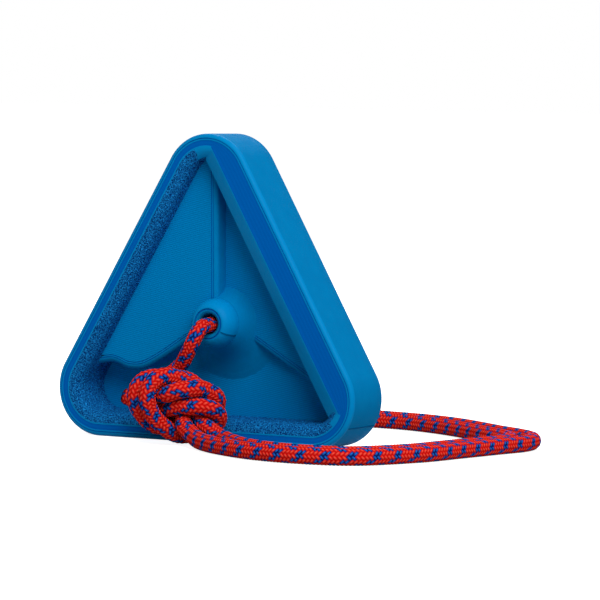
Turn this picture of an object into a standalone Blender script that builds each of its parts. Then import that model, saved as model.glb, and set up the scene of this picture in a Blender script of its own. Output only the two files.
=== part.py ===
"""A climber's finger block: a printed three-sided block with three finger pockets and a cord through its middle.

Metres, +Z up. The block stands on its flat bottom side and its open side faces -Y. The block's numbers below
are in millimetres, with y counted from the open side's plane to the back.
"""

import math

import bpy
import numpy as np

MM = 0.001

# The block.
CORNER_SPACING = 100.0
CORNER_RADIUS = 20.0
DEPTH = 25.0
FRONT_ROUND = 2.0
FLOOR = 5.0

# The narrow rim runs along the left and bottom sides, the wide rim along the right side.
RIM = 5.6
LIP_ROUND = 4.6
WIDE_RIM = 11.0
WIDE_LIP_ROUND = 6.0

# How deep the left and right pockets lie below the open side. The bottom pocket goes down to the floor.
LEFT_POCKET = 8.0
RIGHT_POCKET = 15.0
STEP_ROUND = 1.8
EMBED = 3.2

# The nose that carries the cord.
NOSE_OFF_CENTRE = 1.9
NOSE_CREST = 6.1
NOSE_SHOULDER = 10.2
NOSE_STRAIGHT = 7.5
NOSE_FLARE = 12.5
MOUTH_ROUND = 1.9
REAR_ROUND = 2.0

# The cord.
CORD = 7.0
BORE_CLEARANCE = 0.7
REST_GAP = 0.3
STRAND_GAP = 0.5
SPLIT_GAP = 0.4
PULL_TRAVEL = 6.0
SEAT_GAP = 0.3

# Derived sizes.
TALL = CORNER_SPACING * math.sqrt(3) / 2
NOSE_X = NOSE_OFF_CENTRE
NOSE_Z = CORNER_RADIUS + TALL / 3
WALL = RIM + LIP_ROUND
WIDE_WALL = WIDE_RIM + WIDE_LIP_ROUND
BORE = CORD / 2 + BORE_CLEARANCE
CORD_Z = NOSE_Z - BORE_CLEARANCE + REST_GAP
MOUTH = BORE + MOUTH_ROUND
CENTRES = {
    "apex": (0.0, CORNER_RADIUS + TALL),
    "left": (-CORNER_SPACING / 2, CORNER_RADIUS),
    "right": (CORNER_SPACING / 2, CORNER_RADIUS),
}

# The route of the cord was chosen by hand for a 7 mm cord. Another cord scales the knots with it.
ROUTE_CORD = 7.0
THICK = CORD / ROUTE_CORD

for old in list(bpy.data.objects):
    bpy.data.objects.remove(old, do_unlink=True)

parts = bpy.data.collections.new("finger_block")
helpers = bpy.data.collections.new("cutters")
bpy.context.scene.collection.children.link(parts)
bpy.context.scene.collection.children.link(helpers)


def material(name, colour, rough):
    made = bpy.data.materials.new(name)
    made.use_nodes = True
    shader = made.node_tree.nodes["Principled BSDF"]
    shader.inputs["Base Color"].default_value = (*colour, 1.0)
    shader.inputs["Roughness"].default_value = rough
    return made


def to_world(points):
    """Millimetres from the open side's plane to metres, with y = 0 at the middle of the depth."""
    return (np.asarray(points, float) - (0.0, DEPTH / 2, 0.0)) * MM


def as_helper(obj):
    obj.hide_render = True
    obj.display_type = "WIRE"
    helpers.objects.link(obj)
    return obj


def loft(name, rings):
    """A closed solid through rings of as many points each, first ring nearest the viewer."""
    count = len(rings[0])
    mesh = bpy.data.meshes.new(name)
    points = to_world(np.vstack(rings))
    faces = [list(range(count))]
    for ring in range(len(rings) - 1):
        for i in range(count):
            j = (i + 1) % count
            a = ring * count
            faces.append([a + j, a + i, a + count + i, a + count + j])
    faces.append(list(range(len(points) - 1, len(points) - count - 1, -1)))
    mesh.from_pydata(points.tolist(), [], faces)
    return bpy.data.objects.new(name, mesh)


def prism(name, outline, front, back, rounding, steps, plain=0):
    """An outline in (x, z) drawn out along y, its front edge rounded but for the first plain edges."""
    flat = np.asarray(outline, float)
    rings = [np.insert(flat, 1, y, axis=1) for y in (front, back)]
    obj = loft(name, rings)
    weight = obj.data.attributes.new("bevel_weight_edge", "FLOAT", "EDGE")
    for edge in obj.data.edges:
        first, second = sorted(edge.vertices)
        rounded = first >= plain or (first == 0 and second == len(flat) - 1)
        if second < len(flat) and rounded:
            weight.data[edge.index].value = 1.0
    bevel = obj.modifiers.new("front_round", "BEVEL")
    bevel.limit_method = "WEIGHT"
    bevel.width = rounding * MM
    bevel.segments = steps
    bevel.use_clamp_overlap = False
    return obj


def turned(name, profile, steps=48):
    """A profile of (radius, y) points, front to back, turned about the nose's axis."""
    mesh = bpy.data.meshes.new(name)
    points = [(r * MM, 0.0, -y * MM) for r, y in profile]
    mesh.from_pydata(points, [(i, i + 1) for i in range(len(points) - 1)], [])
    obj = bpy.data.objects.new(name, mesh)
    screw = obj.modifiers.new("turn", "SCREW")
    screw.axis = "Z"
    screw.steps = steps
    screw.render_steps = steps
    screw.use_merge_vertices = True
    screw.merge_threshold = 0.00001
    obj.location = to_world((NOSE_X, 0.0, NOSE_Z))
    obj.rotation_euler = (math.pi / 2, 0.0, 0.0)
    return obj


def combine(target, tool, operation):
    step = target.modifiers.new(tool.name, "BOOLEAN")
    step.operation = operation
    step.solver = "EXACT"
    step.object = tool


def arc(centre, radius, start, end, steps):
    angles = np.radians(np.linspace(start, end, steps + 1))
    return np.c_[centre[0] + radius * np.cos(angles), centre[1] + radius * np.sin(angles)]


def outer_outline(inset, steps):
    """The rounded triangle, moved inwards, anticlockwise from the apex."""
    radius = CORNER_RADIUS - inset
    return np.vstack(
        [
            arc(CENTRES["apex"], radius, 30, 150, steps),
            arc(CENTRES["left"], radius, 150, 270, steps),
            arc(CENTRES["right"], radius, 270, 390, steps),
        ]
    )


def pocket_outline(inset, right_inset, steps):
    """The rounded triangle at one inset, with its right side cut off straight at a larger inset."""
    radius = CORNER_RADIUS - inset
    cut = math.degrees(math.acos((CORNER_RADIUS - right_inset) / radius))
    return np.vstack(
        [
            arc(CENTRES["apex"], radius, 30 + cut, 150, steps),
            arc(CENTRES["left"], radius, 150, 270, steps),
            arc(CENTRES["right"], radius, 270, 390 - cut, steps),
        ]
    )


def lip(y, start, rounding):
    """The inset of a wall with a rounded lip, at depth y."""
    if y >= rounding:
        return start + rounding
    return start + math.sqrt(max(rounding**2 - (rounding - max(y, 0.0)) ** 2, 0.0))


def cavity_rings():
    turns = np.radians(np.linspace(0, 90, 7))
    depths = sorted({-1.0, WIDE_LIP_ROUND, DEPTH - FLOOR, *(LIP_ROUND * (1 - np.cos(turns)))})
    rings = []
    for y in depths:
        flat = pocket_outline(lip(y, RIM, LIP_ROUND), lip(y, WIDE_RIM, WIDE_LIP_ROUND), 10)
        rings.append(np.insert(flat, 1, y, axis=1))
    return rings


def along_right(inset, share):
    """A point on the right side at an inset, from its top end at 0 to its bottom end at 1."""
    top = np.array(CENTRES["apex"])
    low = np.array(CENTRES["right"])
    out = np.array((math.cos(math.radians(30)), math.sin(math.radians(30))))
    return tuple(top + (low - top) * share + out * (CORNER_RADIUS - inset))


NOSE = (NOSE_X, NOSE_Z)
APEX = CENTRES["apex"]
LEFT = CENTRES["left"]
RIGHT = CENTRES["right"]
HIDDEN = WALL - EMBED

# The wavy step between the left and the bottom pocket, as (x from the left centre, z above it).
# Its first point lies inside the rim.
WAVE = [(-10.5, 2.5), (-4.5, 8.0), (-2.3, 10.6), (0.0, 11.7), (3.4, 11.4), (7.3, 9.8), (11.5, 8.1)]
WAVE += [(15.0, 8.2), (18.7, 9.4), (26.2, 13.6), (35.9, 19.9)]


def left_facet():
    """The left pocket's ground: apex, left rim, then the wavy step back to the nose."""
    corner = arc(APEX, CORNER_RADIUS - HIDDEN, 88, 150, 6)
    corner = np.vstack([corner, arc(LEFT, CORNER_RADIUS - HIDDEN, 150, 151, 1)[:1]])
    wave = [(LEFT[0] + x, LEFT[1] + z) for x, z in WAVE]
    return np.vstack([corner, wave, [NOSE]])


def right_facet():
    """The right pocket's ground, running under the left one on its other side."""
    rim = WIDE_WALL - 2 * EMBED
    step = np.array((41.9 - 14.4, 26.05 - 41.7)) / 27.5
    far = (57.2, 41.7 + (57.2 - 14.4) * step[1] / step[0])
    back = (NOSE_X - 14.0, NOSE_Z + 8.0)
    top = (APEX[0] - 6.0, APEX[1] + CORNER_RADIUS - HIDDEN - 1.2)
    return np.array([NOSE, far, along_right(rim, 0.92), along_right(rim, 0.04), top, back])


def nose_profile():
    bulge = np.radians(np.linspace(0, 90, 9))
    flare = np.radians(np.linspace(0, 90, 9))[1:]
    reach = NOSE_SHOULDER - NOSE_CREST
    points = [(0.0, 0.0)]
    points += [(NOSE_CREST + reach * math.sin(t), NOSE_STRAIGHT * (1 - math.cos(t))) for t in bulge]
    ends = DEPTH - FLOOR - NOSE_STRAIGHT
    points += [(NOSE_SHOULDER + NOSE_FLARE * (1 - math.cos(t)), NOSE_STRAIGHT + ends * math.sin(t)) for t in flare]
    rim = NOSE_SHOULDER + NOSE_FLARE
    return points + [(rim, DEPTH - FLOOR / 2), (0.0, DEPTH - FLOOR / 2)]


def bore_profile():
    front = np.radians(np.linspace(12, 90, 6))
    rear = np.radians(np.linspace(0, 75, 6))
    points = [(0.0, -1.0), (MOUTH + 0.3, -1.0)]
    points += [(MOUTH - MOUTH_ROUND * math.sin(t), MOUTH_ROUND * (1 - math.cos(t))) for t in front]
    wide = BORE + REAR_ROUND
    deep = DEPTH - REAR_ROUND
    points += [(wide - REAR_ROUND * math.cos(t), deep + REAR_ROUND * math.sin(t)) for t in rear]
    return points + [(wide + 0.3, DEPTH + 1.0), (0.0, DEPTH + 1.0)]


block = prism("block_body", outer_outline(0.0, 12), 0.0, DEPTH, FRONT_ROUND, 3)
parts.objects.link(block)
cavity = as_helper(loft("cavity", cavity_rings()))
left_ground = as_helper(prism("left_ground", left_facet(), LEFT_POCKET, DEPTH - FLOOR / 2, STEP_ROUND, 3, 8))
right_ground = as_helper(prism("right_ground", right_facet(), RIGHT_POCKET, DEPTH - FLOOR / 2, STEP_ROUND, 3))
nose = as_helper(turned("nose", nose_profile()))
bore = as_helper(turned("bore", bore_profile()))
combine(block, cavity, "DIFFERENCE")
combine(block, left_ground, "UNION")
combine(block, right_ground, "UNION")
combine(block, nose, "UNION")
combine(block, bore, "DIFFERENCE")
block.data.materials.append(material("blue_printed_plastic", (0.004, 0.13, 0.36), 0.5))

# The cord's route. The knots' points are (u, v, w): right, up and towards the viewer, as the photograph
# looks at them, from a foot on the table in front of the block.
KNOT_FOOT = (-2.5, -17.5)
KNOT_TURN = math.radians(29)
RADIUS = CORD / 2

STOPPER = [(8.5, 31, 15.5), (8.5, 25, 14.5), (8.2, 19.5, 11.5), (8, 14.8, 6.5), (7, 12.5, 0.2)]
STOPPER += [(3.2, 11.2, -6.4), (-3.8, 9.4, -7), (-8, 6.8, -0.5), (-5.2, 4.2, 6.8), (3.2, 3.6, 9.6)]
STOPPER += [(11.5, 6.8, 9.6), (15.2, 13.2, 6.6), (11.4, 19, 3.6), (4.6, 18.6, 0.8), (0.4, 12.5, 0), (0, 6, 0)]

FRONT = [(10.4, 47.9, -9.6), (8.9, 46.5, -7.2), (7.6, 44, -6.2), (6, 40.6, -6.8)]
STANDING = [(4.2, 36.6, -8.8), (2.4, 32.8, -11.6), (-0.4, 29.4, -14.2)]
STANDING += [(-5, 26.2, -15.8), (-9.6, 23.2, -14.6), (-11.6, 20.8, -10.2), (-9.8, 20.2, -5.2)]
STANDING += [(-6, 21.2, -0.6), (-1.5, 23, 2.6), (3, 23.6, 4), (8.2, 23.8, 4), (11.8, 23.1, 3), (14.6, 20.9, 0.6)]
STANDING += [(15.9, 17.8, -3), (15, 14.4, -6.8), (10.4, 10.8, -9.6), (4.5, 8.4, -11.4), (-1, 7.6, -9.6)]
STANDING += [(-5.2, 8.1, -6.2), (-9.8, 9, -4), (-13.4, 11.7, -3), (-15.6, 15.5, -2.6), (-16.2, 20, -2.6)]
STANDING += [(-14.9, 24, -2.8), (-11.9, 26.4, -3), (-8.5, 27, -3.2), (-3.4, 27.2, -4), (2, 27, -5.4), (7, 25.6, -6.8)]
STANDING += [(10, 22.2, -7.2), (11, 17.6, -6), (11.2, 13.4, -1.6), (12.6, 9.6, 4), (15.9, 6.3, 8.5), (20, 4.2, 12)]

INNER = [(28.5, -24.5), (41, -36), (56.5, -43.8), (75, -46.6), (91.5, -40.3), (103, -17.5), (107.8, 7)]
INNER += [(112.2, 33), (114.8, 47), (111.8, 59), (102.5, 69), (90, 78.2), (75, 89.6), (60, 99.3)]
INNER += [(42, 107.4), (26, 110.4), (6, 109), (-12, 103), (-28, 97)]
BIGHT = [(-44, 98), (-54, 110), (-49, 124), (-34, 130)]
OUTER = [(-12, 126), (6, 121), (27, 118.6), (45, 115.2), (63.7, 107.2), (79.5, 96.5), (94.7, 84.8)]
OUTER += [(108, 76), (118.6, 65.5), (123, 50), (120, 32), (115.5, 6), (110.5, -20), (97, -47)]
OUTER += [(76, -54.6), (53.5, -52), (33.5, -42.3)]
LOOP_MIDDLE = (50.0, 30.0)

TAIL = [(12, 3.6, 22.5), (8.6, 4.4, 13), (6.3, 7.2, 7), (4.5, 10.6, 1.5), (3.6, 14.2, -2.8), (3.4, 18.5, -4.2)]
TAIL += [(4.2, 22.4, -3.6), (4.6, 25, -0.4), (1.8, 26.8, 3), (-2, 27, 4.6), (-7, 26, 5.3), (-10.4, 23.4, 5.4)]
TAIL += [(-11.7, 20, 5.4), (-11.2, 16.4, 5.2), (-9.4, 12.6, 4.8), (-5.9, 9.3, 3.8), (-2, 7, 1.2), (2.5, 5.7, -2.6)]
TAIL += [(7.5, 5.5, -5.6), (12.2, 6.4, -5.6), (15.3, 9, -2.6), (16.4, 12.6, 1.4), (14.4, 15.5, 4.6), (10, 16.7, 6)]
TAIL += [(4.3, 16.6, 5.8), (-1.5, 15.8, 3.2), (-5.6, 15, -1), (-10.5, 15.4, -6.2), (-15.5, 17, -10), (-19.2, 18.4, -11.8)]
TAIL += [(-21.6, 19, -12.4)]


def at_knot(points):
    u, v, w = (np.array(points, float) * THICK).T
    turn = (math.cos(KNOT_TURN), math.sin(KNOT_TURN))
    return np.c_[KNOT_FOOT[0] + u * turn[0] + w * turn[1], KNOT_FOOT[1] + u * turn[1] - w * turn[0], v]


def at_front(points):
    """The hanging stretch: its height follows the nose, from the knot's top up."""
    placed = at_knot(points)
    share = np.linspace(1, 0, len(points))[:, None]
    return placed + share * (0.0, 0.0, NOSE_Z - 48.87 - 47.9 * (THICK - 1))


def at_back(points):
    start = np.array((NOSE_X, DEPTH + PULL_TRAVEL + SEAT_GAP, CORD_Z))
    return start + np.array(points, float) * THICK


def in_bore(depths):
    return np.array([(NOSE_X, y, CORD_Z) for y in depths])


def on_table(points, push):
    flat = np.array(points, float)
    away = flat - LOOP_MIDDLE
    flat = flat + away / np.linalg.norm(away, axis=1)[:, None] * push
    return np.c_[flat, np.full(len(flat), RADIUS)]


def smooth_curve(points, step):
    """A Catmull-Rom curve through the points, read at even steps."""
    known = np.asarray(points, float)
    known = np.vstack([2 * known[0] - known[1], known, 2 * known[-1] - known[-2]])
    t = np.linspace(0, 1, 24, endpoint=False)[:, None]
    spans = []
    for a, b, c, d in zip(known, known[1:], known[2:], known[3:]):
        spans.append(b + (c - a) * t / 2 + (a - 2.5 * b + 2 * c - d / 2) * t**2 + (1.5 * (b - c) + (d - a) / 2) * t**3)
    curve = np.vstack(spans + [known[-2:-1]])
    run = np.r_[0, np.cumsum(np.linalg.norm(np.diff(curve, axis=0), axis=1))]
    at = np.linspace(0, run[-1], int(round(run[-1] / step)) + 1)
    return np.column_stack([np.interp(at, run, curve[:, k]) for k in range(3)])


def settle(path, free, need, rounds):
    """Pushes strands that lie too close apart, keeping their lengths, as a knot does when it is drawn up.

    At first the drawn shape is held as the viewer sees it, so that strands give way in depth.
    """
    drawn = path
    path = path.copy()
    length = np.linalg.norm(np.diff(path, axis=0), axis=1)
    order = np.arange(len(path))
    apart = np.abs(order[:, None] - order) > 5
    may = free[:, None].astype(float)
    viewer = np.array((math.sin(KNOT_TURN), -math.cos(KNOT_TURN), 0.0))
    for count in range(rounds):
        gap = path[:, None] - path
        far = np.sqrt((gap**2).sum(-1)) + 1e-9
        close = np.where(apart, np.clip(need - far, 0, None), 0)
        share = np.sqrt(np.maximum((close > 0).sum(1), 1))[:, None]
        path += may * 0.3 * (gap * (close / far)[..., None]).sum(1) / share
        held = count < rounds - 150
        ease = 0.06 if held else 0.02
        path[1:-1] += may[1:-1] * ease * ((path[:-2] + path[2:]) / 2 - path[1:-1])
        if held:
            back = drawn - path
            path += may * 0.25 * (back - viewer * (back @ viewer)[:, None])
        for _ in range(3):
            run = np.diff(path, axis=0)
            now = np.linalg.norm(run, axis=1)
            pull = run * (0.3 * (now - length) / now)[:, None]
            path[:-1] += may[:-1] * pull
            path[1:] -= may[1:] * pull
        path[:, 2] = np.where(free, np.maximum(path[:, 2], RADIUS), path[:, 2])
        low = free & (path[:, 2] < 14) & (path[:, 1] < 5)
        path[:, 1] = np.where(low, np.minimum(path[:, 1], -RADIUS - REST_GAP - 0.1), path[:, 1])
    return path


stretches = [
    at_back(STOPPER),
    in_bore([DEPTH + PULL_TRAVEL / 2, DEPTH - 8]),
    np.vstack([in_bore([8, 4, 1]), at_front(FRONT)]),
    at_knot(STANDING),
    on_table(INNER, 0.0),
    on_table(BIGHT, 0.0),
    on_table(OUTER, CORD - ROUTE_CORD),
    at_knot(TAIL),
]
STEP = CORD / 2
route = smooth_curve(np.vstack(stretches), STEP)
knot_middle = np.array((*KNOT_FOOT, 17.0 * THICK))
at_the_knot = (np.linalg.norm(route - knot_middle, axis=1) < 40 * THICK) & (route[:, 1] < -2)
at_the_knot &= route[:, 2] < 37 * THICK
behind = (route[:, 1] > DEPTH + PULL_TRAVEL + 3) & (route[:, 2] > 20)
cord_path = settle(route, at_the_knot | behind, CORD + STRAND_GAP + 0.7, 400)

fine = smooth_curve(cord_path, 0.7)
order = np.arange(len(fine))
pair = np.sqrt(((fine[:, None] - fine) ** 2).sum(-1))
pair[np.abs(order[:, None] - order) < 4 * CORD / 0.7] = 1e9
print(f"cord length {len(fine) * 0.7:.0f} mm, least gap to itself {pair.min() - CORD:.2f} mm")

sheath = material("red_braided_sheath", (0.55, 0.015, 0.02), 0.7)


def strand(name, start, end, step):
    """A tube along the settled path between two of its points."""
    begin = start * STEP + SPLIT_GAP / 2
    finish = end * STEP - SPLIT_GAP / 2
    count = max(int(round((finish - begin) / step)), 1)
    at = np.linspace(begin, finish, count + 1)
    at = np.sort(np.r_[at, begin + 0.6, finish - 0.6])
    run = np.arange(len(fine)) * (len(cord_path) - 1) * STEP / (len(fine) - 1)
    where = np.column_stack([np.interp(at, run, fine[:, k]) for k in range(3)])
    origin = to_world((NOSE_X, 0.0, CORD_Z))
    where = to_world(where) - origin
    curve = bpy.data.curves.new(name, "CURVE")
    curve.dimensions = "3D"
    curve.bevel_depth = RADIUS * MM
    curve.bevel_resolution = 3
    curve.use_fill_caps = True
    spline = curve.splines.new("POLY")
    spline.points.add(len(where) - 1)
    spline.points.foreach_set("co", np.c_[where, np.ones(len(where))].ravel())
    obj = bpy.data.objects.new(name, curve)
    obj.location = origin
    curve.materials.append(sheath)
    parts.objects.link(obj)


def index_of(point):
    return int(np.linalg.norm(route - point, axis=1).argmin())


names = ["stopper_knot", "cord_bore_run", "cord_front_run", "eight_knot_standing_pass"]
names += ["loop_strand_inner", "loop_bight", "loop_strand_outer", "eight_knot_tail_pass"]
steps = [4.0, 8.0, 4.5, 3.8, 15.0, 10.0, 15.0, 3.8]
starts = [0] + [index_of(stretch[0]) for stretch in stretches[1:]]
for name, start, end, step in zip(names, starts, starts[1:] + [len(cord_path) - 1], steps):
    strand(name, start, end, step * THICK)
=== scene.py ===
"""A climber's finger block: blue printed plastic, a braided red and blue cord, a white studio."""

import math

import bmesh
import bpy
import numpy as np
from mathutils import Matrix


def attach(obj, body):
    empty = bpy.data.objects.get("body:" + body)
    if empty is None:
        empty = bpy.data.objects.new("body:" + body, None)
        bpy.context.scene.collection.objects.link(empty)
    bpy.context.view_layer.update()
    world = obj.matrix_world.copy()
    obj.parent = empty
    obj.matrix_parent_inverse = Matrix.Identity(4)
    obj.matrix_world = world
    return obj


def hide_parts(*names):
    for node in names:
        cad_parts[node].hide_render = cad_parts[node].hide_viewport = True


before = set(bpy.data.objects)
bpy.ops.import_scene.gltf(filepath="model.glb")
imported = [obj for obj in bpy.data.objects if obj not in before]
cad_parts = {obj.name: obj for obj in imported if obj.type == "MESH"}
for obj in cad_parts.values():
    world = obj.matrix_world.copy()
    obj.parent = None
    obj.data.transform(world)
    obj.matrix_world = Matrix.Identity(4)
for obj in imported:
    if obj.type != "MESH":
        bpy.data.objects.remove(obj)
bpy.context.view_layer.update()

MM = 0.001

# The block's sizes in millimetres, y counted from the open side's plane, as in the part's source.
SPACING = 100.0
CORNER = 20.0
DEPTH = 25.0
FRONT_ROUND = 1.7
FLOOR_AT = 20.0
RIM = 5.6
LIP = 4.6
WIDE_RIM = 11.0
WIDE_LIP = 6.0
WIDE_DEPTH = 2.8
LEFT_AT = 8.0
RIGHT_AT = 15.0
STEP_ROUND = 1.8
TALL = SPACING * math.sqrt(3) / 2
NOSE = np.array((1.9, CORNER + TALL / 3))
APEX = np.array((0.0, CORNER + TALL))
LEFT = np.array((-SPACING / 2, CORNER))
RIGHT = np.array((SPACING / 2, CORNER))

CORD = 7.0
RADIUS = CORD / 2
BORE = 4.2
CORD_SINKS = 0.4
CORD_Z = NOSE[1] - CORD_SINKS
PULL = 6.0
SEAT_GAP = 0.3


def to_world(points):
    """Millimetres from the open side's plane to metres, with y = 0 at the middle of the depth."""
    return (np.asarray(points, float) - (0.0, DEPTH / 2, 0.0)) * MM


def linear(code):
    """An sRGB hex colour as linear red, green, blue and alpha."""
    value = np.array([int(code[i : i + 2], 16) for i in (1, 3, 5)]) / 255
    value = np.where(value <= 0.04045, value / 12.92, ((value + 0.055) / 1.055) ** 2.4)
    return (*value.tolist(), 1.0)


def add(tree, kind, inputs=None, **settings):
    """Adds a node, sets its properties, and links or sets its inputs."""
    made = tree.nodes.new("ShaderNode" + kind)
    for name, value in settings.items():
        setattr(made, name, value)
    for name, value in (inputs or {}).items():
        if isinstance(value, bpy.types.NodeSocket):
            tree.links.new(value, made.inputs[name])
        else:
            made.inputs[name].default_value = value
    return made


def new_material(name):
    """A material with an empty node tree, and the tree."""
    made = bpy.data.materials.new(name)
    made.use_nodes = True
    made.node_tree.nodes.clear()
    return made, made.node_tree


# Camera, from a fit of the block's outline to the photograph.
RIGHTWARDS = (0.8747, 0.4843, 0.0174)
UPWARDS = (-0.0406, 0.0375, 0.9985)
BACKWARDS = (0.4829, -0.8741, 0.0524)
CAMERA_AT = (796.26, -1360.11, 142.01)
SENSOR = 36.0
FOCAL_PIXELS = 3860.5
PICTURE_PIXELS = 600.0
camera_data = bpy.data.cameras.new("photo_camera")
camera_data.sensor_width = SENSOR
camera_data.lens = FOCAL_PIXELS * SENSOR / PICTURE_PIXELS
camera_data.clip_end = 100.0
camera = bpy.data.objects.new("photo_camera", camera_data)
turn = Matrix((RIGHTWARDS, UPWARDS, BACKWARDS)).transposed().to_4x4()
camera.matrix_world = Matrix.Translation(to_world(CAMERA_AT)) @ turn
bpy.context.scene.collection.objects.link(camera)
bpy.context.scene.camera = camera

# The cord's route, as in the part's source. Stopper points are (x, y, z) from its seat behind the back, bore points
# depths, knot points (right, up, towards the viewer) from the knot's foot, and table points (x, y).
KNOT_FOOT = (-2.5, -17.5)
KNOT_TURN = math.radians(29)
STOPPER = [(8.5, 31, 15.5), (8.5, 25, 14.5), (8.2, 19.5, 11.5), (8, 14.8, 6.5), (7, 12.5, 0.2)]
STOPPER += [(3.2, 11.2, -6.4), (-3.8, 9.4, -7), (-8, 6.8, -0.5), (-5.2, 4.2, 6.8), (3.2, 3.6, 9.6)]
STOPPER += [(11.5, 6.8, 9.6), (15.2, 13.2, 6.6), (11.4, 19, 3.6), (4.6, 18.6, 0.8), (0.4, 12.5, 0), (0, 6, 0)]
IN_BORE = [DEPTH + PULL / 2, DEPTH - 8, 8, 4, 1]
FRONT = [(10.4, 47.9, -9.6), (8.9, 46.5, -7.2), (7.6, 44, -6.2), (6, 40.6, -6.8)]
STANDING = [(4.2, 36.6, -8.8), (2.4, 32.8, -11.6), (-0.4, 29.4, -14.2)]
STANDING += [(-5, 26.2, -15.8), (-9.6, 23.2, -14.6), (-11.6, 20.8, -10.2), (-9.8, 20.2, -5.2)]
STANDING += [(-6, 21.2, -0.6), (-1.5, 23, 2.6), (3, 23.6, 4), (8.2, 23.8, 4), (11.8, 23.1, 3), (14.6, 20.9, 0.6)]
STANDING += [(15.9, 17.8, -3), (15, 14.4, -6.8), (10.4, 10.8, -9.6), (4.5, 8.4, -11.4), (-1, 7.6, -9.6)]
STANDING += [(-5.2, 8.1, -6.2), (-9.8, 9, -4), (-13.4, 11.7, -3), (-15.6, 15.5, -2.6), (-16.2, 20, -2.6)]
STANDING += [(-14.9, 24, -2.8), (-11.9, 26.4, -3), (-8.5, 27, -3.2), (-3.4, 27.2, -4), (2, 27, -5.4), (7, 25.6, -6.8)]
STANDING += [(10, 22.2, -7.2), (11, 17.6, -6), (11.2, 13.4, -1.6), (12.6, 9.6, 4), (15.9, 6.3, 8.5), (20, 4.2, 12)]
INNER = [(28.5, -24.5), (41, -36), (56.5, -43.8), (75, -46.6), (91.5, -40.3), (103, -17.5), (107.8, 7)]
INNER += [(112.2, 33), (114.8, 47), (111.8, 59), (102.5, 69), (90, 78.2), (75, 89.6), (60, 99.3)]
INNER += [(42, 107.4), (26, 110.4), (6, 109), (-12, 103), (-28, 97)]
BIGHT = [(-44, 98), (-54, 110), (-49, 124), (-34, 130)]
OUTER = [(-12, 126), (6, 121), (27, 118.6), (45, 115.2), (63.7, 107.2), (79.5, 96.5), (94.7, 84.8)]
OUTER += [(108, 76), (118.6, 65.5), (123, 50), (120, 32), (115.5, 6), (110.5, -20), (97, -47)]
OUTER += [(76, -54.6), (53.5, -52), (33.5, -42.3)]
TAIL = [(12, 3.6, 22.5), (8.6, 4.4, 13), (6.3, 7.2, 7), (4.5, 10.6, 1.5), (3.6, 14.2, -2.8), (3.4, 18.5, -4.2)]
TAIL += [(4.2, 22.4, -3.6), (4.6, 25, -0.4), (1.8, 26.8, 3), (-2, 27, 4.6), (-7, 26, 5.3), (-10.4, 23.4, 5.4)]
TAIL += [(-11.7, 20, 5.4), (-11.2, 16.4, 5.2), (-9.4, 12.6, 4.8), (-5.9, 9.3, 3.8), (-2, 7, 1.2), (2.5, 5.7, -2.6)]
TAIL += [(7.5, 5.5, -5.6), (12.2, 6.4, -5.6), (15.3, 9, -2.6), (16.4, 12.6, 1.4), (14.4, 15.5, 4.6), (10, 16.7, 6)]
TAIL += [(4.3, 16.6, 5.8), (-1.5, 15.8, 3.2), (-5.6, 15, -1), (-10.5, 15.4, -6.2), (-15.5, 17, -10)]
TAIL += [(-19.2, 18.4, -11.8), (-21.6, 19, -12.4)]


def at_knot(points):
    """Knot points (right, up, towards the viewer) turned to the photograph's view and set on the knot's foot."""
    u, v, w = np.array(points, float).T
    turn = (math.cos(KNOT_TURN), math.sin(KNOT_TURN))
    return np.c_[KNOT_FOOT[0] + u * turn[0] + w * turn[1], KNOT_FOOT[1] + u * turn[1] - w * turn[0], v]


def on_table(points):
    """Table points (x, y) with the cord's middle one radius above the table."""
    flat = np.array(points, float)
    return np.c_[flat, np.full(len(flat), RADIUS)]


def smooth_curve(points, step):
    """A Catmull-Rom curve through the points, read at even steps."""
    known = np.asarray(points, float)
    known = np.vstack([2 * known[0] - known[1], known, 2 * known[-1] - known[-2]])
    t = np.linspace(0, 1, 24, endpoint=False)[:, None]
    spans = []
    for a, b, c, d in zip(known, known[1:], known[2:], known[3:]):
        square = (a - 2.5 * b + 2 * c - d / 2) * t**2
        spans.append(b + (c - a) * t / 2 + square + (1.5 * (b - c) + (d - a) / 2) * t**3)
    curve = np.vstack(spans + [known[-2:-1]])
    run = np.r_[0, np.cumsum(np.linalg.norm(np.diff(curve, axis=0), axis=1))]
    at = np.linspace(0, run[-1], int(round(run[-1] / step)) + 1)
    return np.column_stack([np.interp(at, run, curve[:, k]) for k in range(3)])


# Rounds of settling, with the last of them loose, and how many points along the cord count as one strand.
ROUNDS = 400
LOOSE_ROUNDS = 150
SAME_STRAND = 5
# How far strands are pushed apart, smoothed, held to the drawn shape and kept in length each round, as shares.
PUSH = 0.3
EASE, LOOSE_EASE = 0.06, 0.02
HOLD, LOOSE_HOLD = 0.25, 0.03
KEEP = 0.3
# Below this height, and this near, a strand stays in front of the block's open side.
FRONT_BELOW = 14.0
FRONT_WITHIN = 5.0
FRONT_GAP = 0.4


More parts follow.
